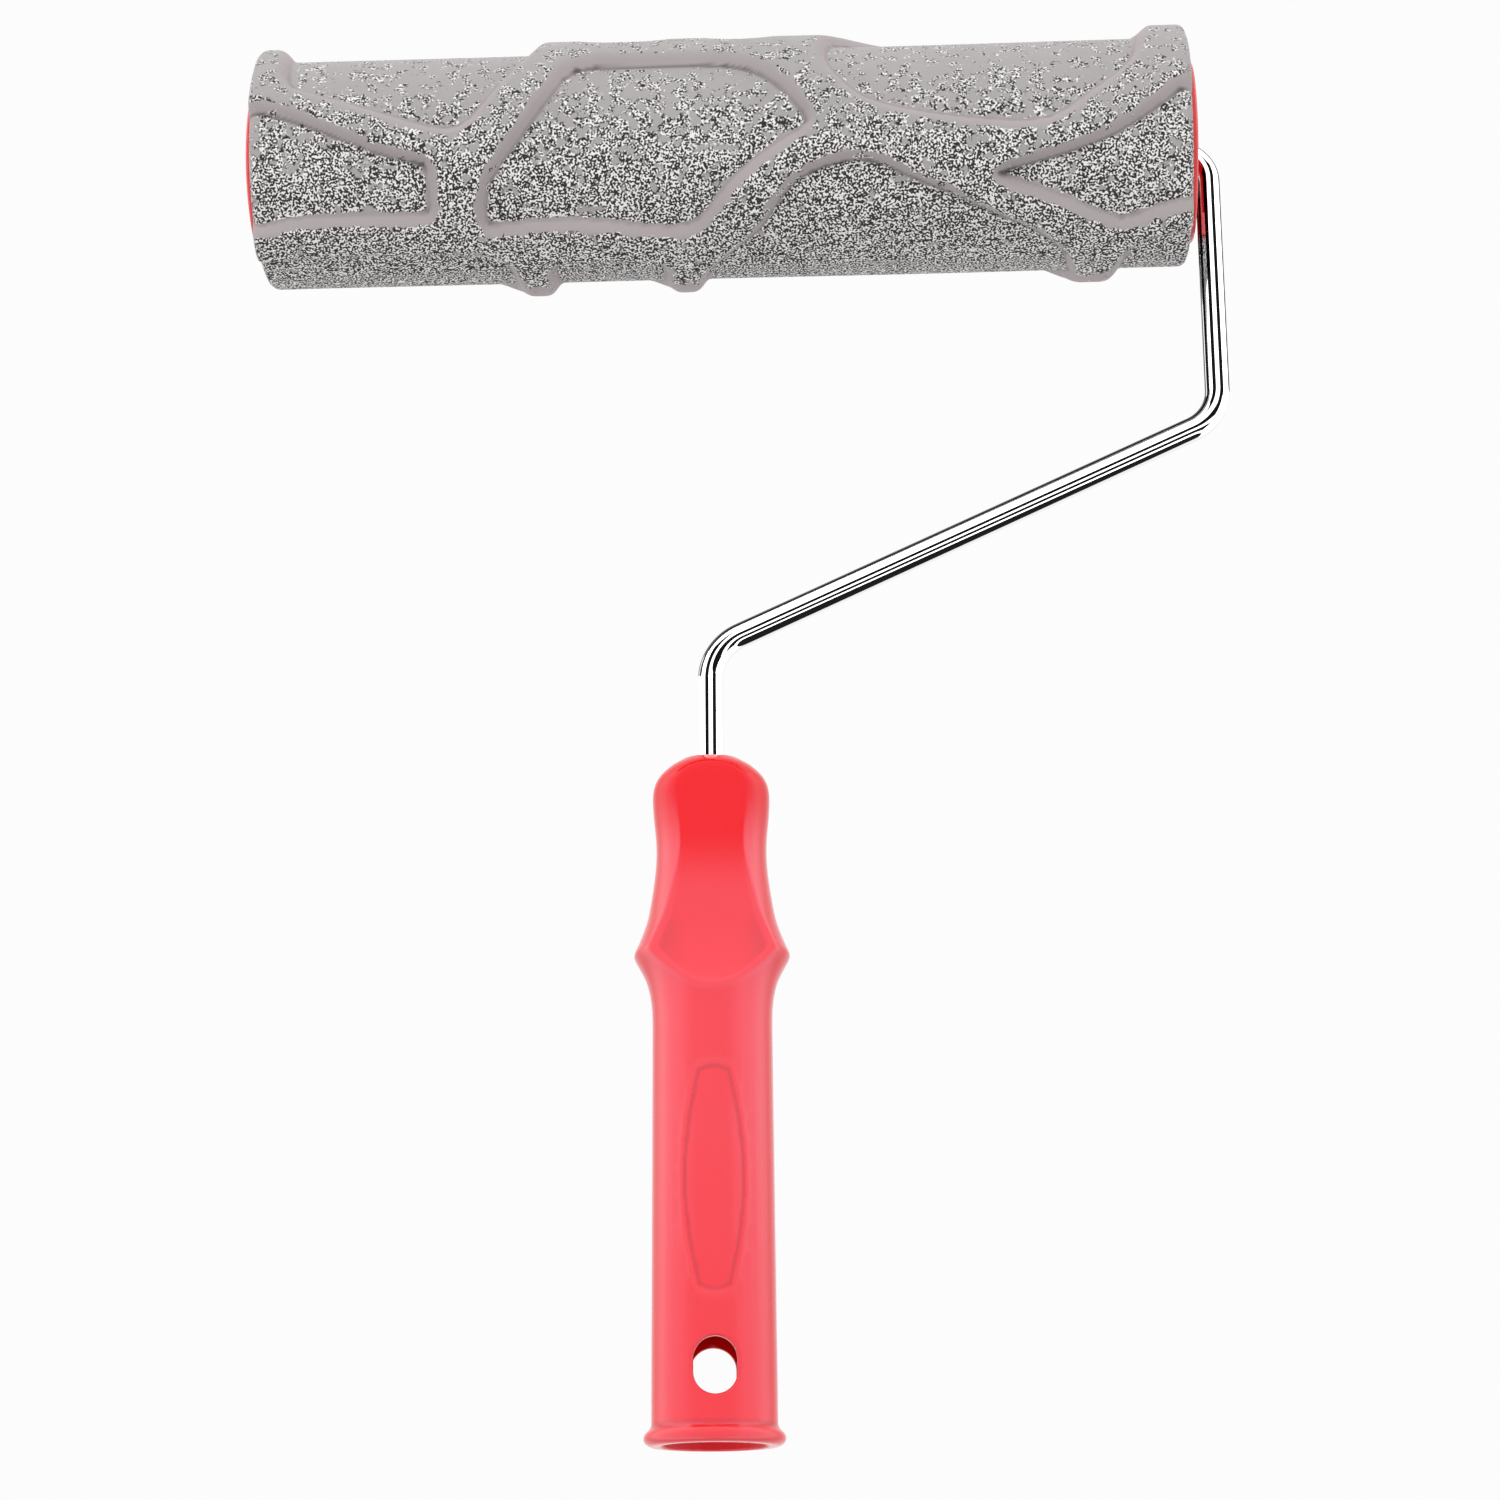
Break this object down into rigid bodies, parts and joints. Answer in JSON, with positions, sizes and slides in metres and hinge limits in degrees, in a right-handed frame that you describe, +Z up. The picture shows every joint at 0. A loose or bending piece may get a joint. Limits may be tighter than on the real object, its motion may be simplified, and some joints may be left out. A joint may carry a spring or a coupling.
{
  "type": "textured pattern roller",
  "caption": "Decorating roller with a ridged rubber pattern sleeve turning on a bent chromed wire frame with a red moulded handle.",
  "frame": {"origin": "centre of the open mouth of the pole socket, at the handle's lower end", "axes": "+Z up along the handle towards the roller, +X along the roller's axis towards the arm, -Y towards the front with the thumb rest"},
  "size_m": [0.2353, 0.0616, 0.3408],
  "materials": {
    "pattern_rubber": "matte, fine speckled grain",
    "core_plastic": "matte",
    "cap_plastic": "gloss",
    "handle_plastic": "satin gloss",
    "bush_plastic": "smooth",
    "washer_plastic": "smooth",
    "clip_steel": "spring steel",
    "wire_chrome": "bright chrome"
  },
  "bodies": {
    "frame": {"frame_wire": "wire_chrome", "handle": "handle_plastic", "stop_collar": "clip_steel", "retaining_clip": "clip_steel"},
    "roller": {"pattern_sleeve": "pattern_rubber", "core_tube": "core_plastic", "inner_end_cap": "cap_plastic", "outer_end_cap": "cap_plastic", "inner_bush": "bush_plastic", "outer_bush": "bush_plastic", "axle_end_cover": "cap_plastic"},
    "inner_washer": {"inner_thrust_washer": "washer_plastic"},
    "outer_washer": {"outer_thrust_washer": "washer_plastic"}
  },
  "joints": [
    {"name": "roller_spin", "type": "hinge", "parent": "frame", "child": "roller", "pos_m": [0.004, 0, 0.31], "axis": [1, 0, 0], "continuous": true},
    {"name": "inner_washer_spin", "type": "hinge", "parent": "frame", "child": "inner_washer", "pos_m": [0.1035, 0, 0.31], "axis": [1, 0, 0], "continuous": true},
    {"name": "outer_washer_spin", "type": "hinge", "parent": "frame", "child": "outer_washer", "pos_m": [-0.0955, 0, 0.31], "axis": [1, 0, 0], "continuous": true}
  ]
}
